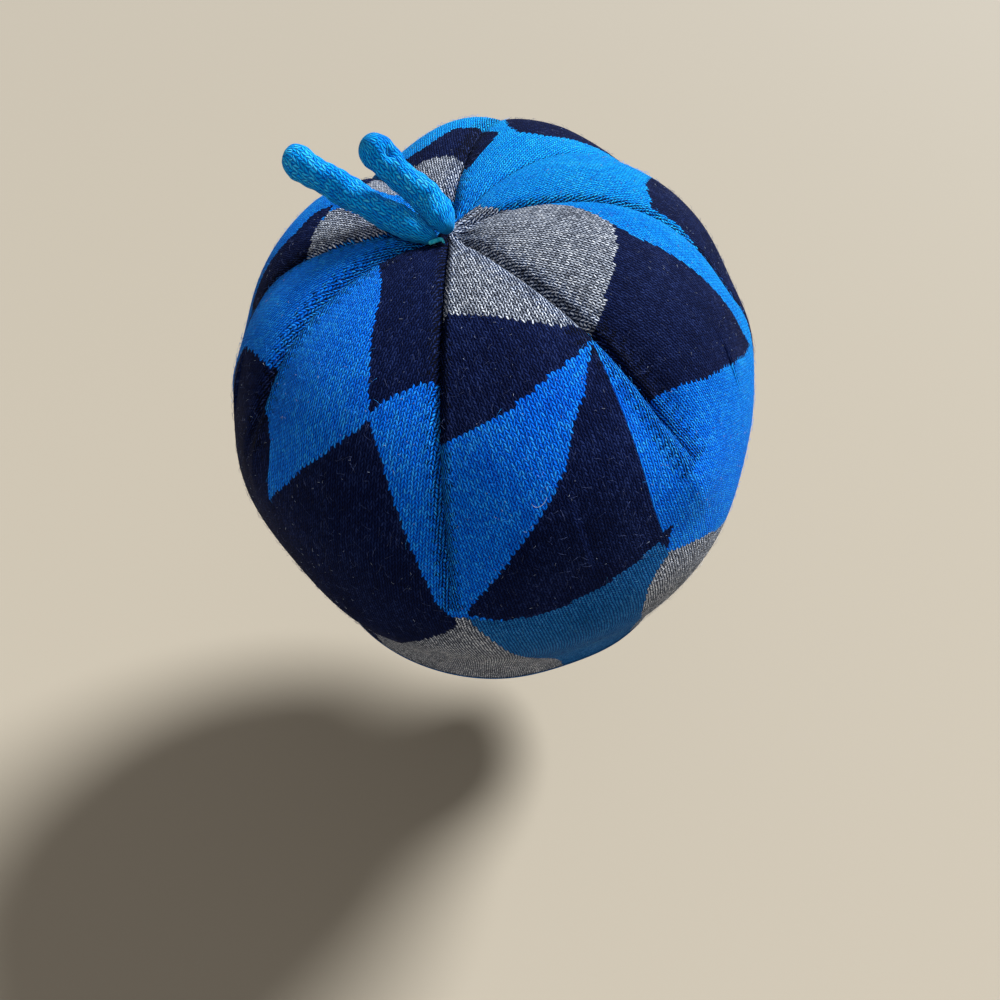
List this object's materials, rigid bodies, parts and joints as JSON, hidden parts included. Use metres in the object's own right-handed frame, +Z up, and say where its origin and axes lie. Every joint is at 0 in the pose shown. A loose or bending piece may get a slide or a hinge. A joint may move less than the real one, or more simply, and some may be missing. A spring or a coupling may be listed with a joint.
{
  "type": "earflap beanie",
  "caption": "Slouched knitted beanie with a gathered, gored crown in diamond colour blocks, ear flaps and knitted tails at the top.",
  "frame": {"origin": "centre of the rim's plane, where the hat is held by the head that wears it", "axes": "+Z up through the crown, +Y towards the wearer's face, +X towards the wearer's right, -Y the nape"},
  "size_m": [0.211, 0.2521, 0.2435],
  "materials": {
    "harlequin_knit": "fulled wool knit in blue, navy and grey marl blocks",
    "steel_knit": "fulled wool knit, steel blue",
    "navy_knit": "fulled wool knit, navy",
    "blue_knit": "fulled wool knit, bright blue"
  },
  "bodies": {
    "root": {"crown": "harlequin_knit", "hem_band": "steel_knit", "ear_flap_right": "navy_knit", "ear_flap_left": "navy_knit", "tail_long": "blue_knit", "tail_short": "blue_knit"}
  },
  "joints": []
}
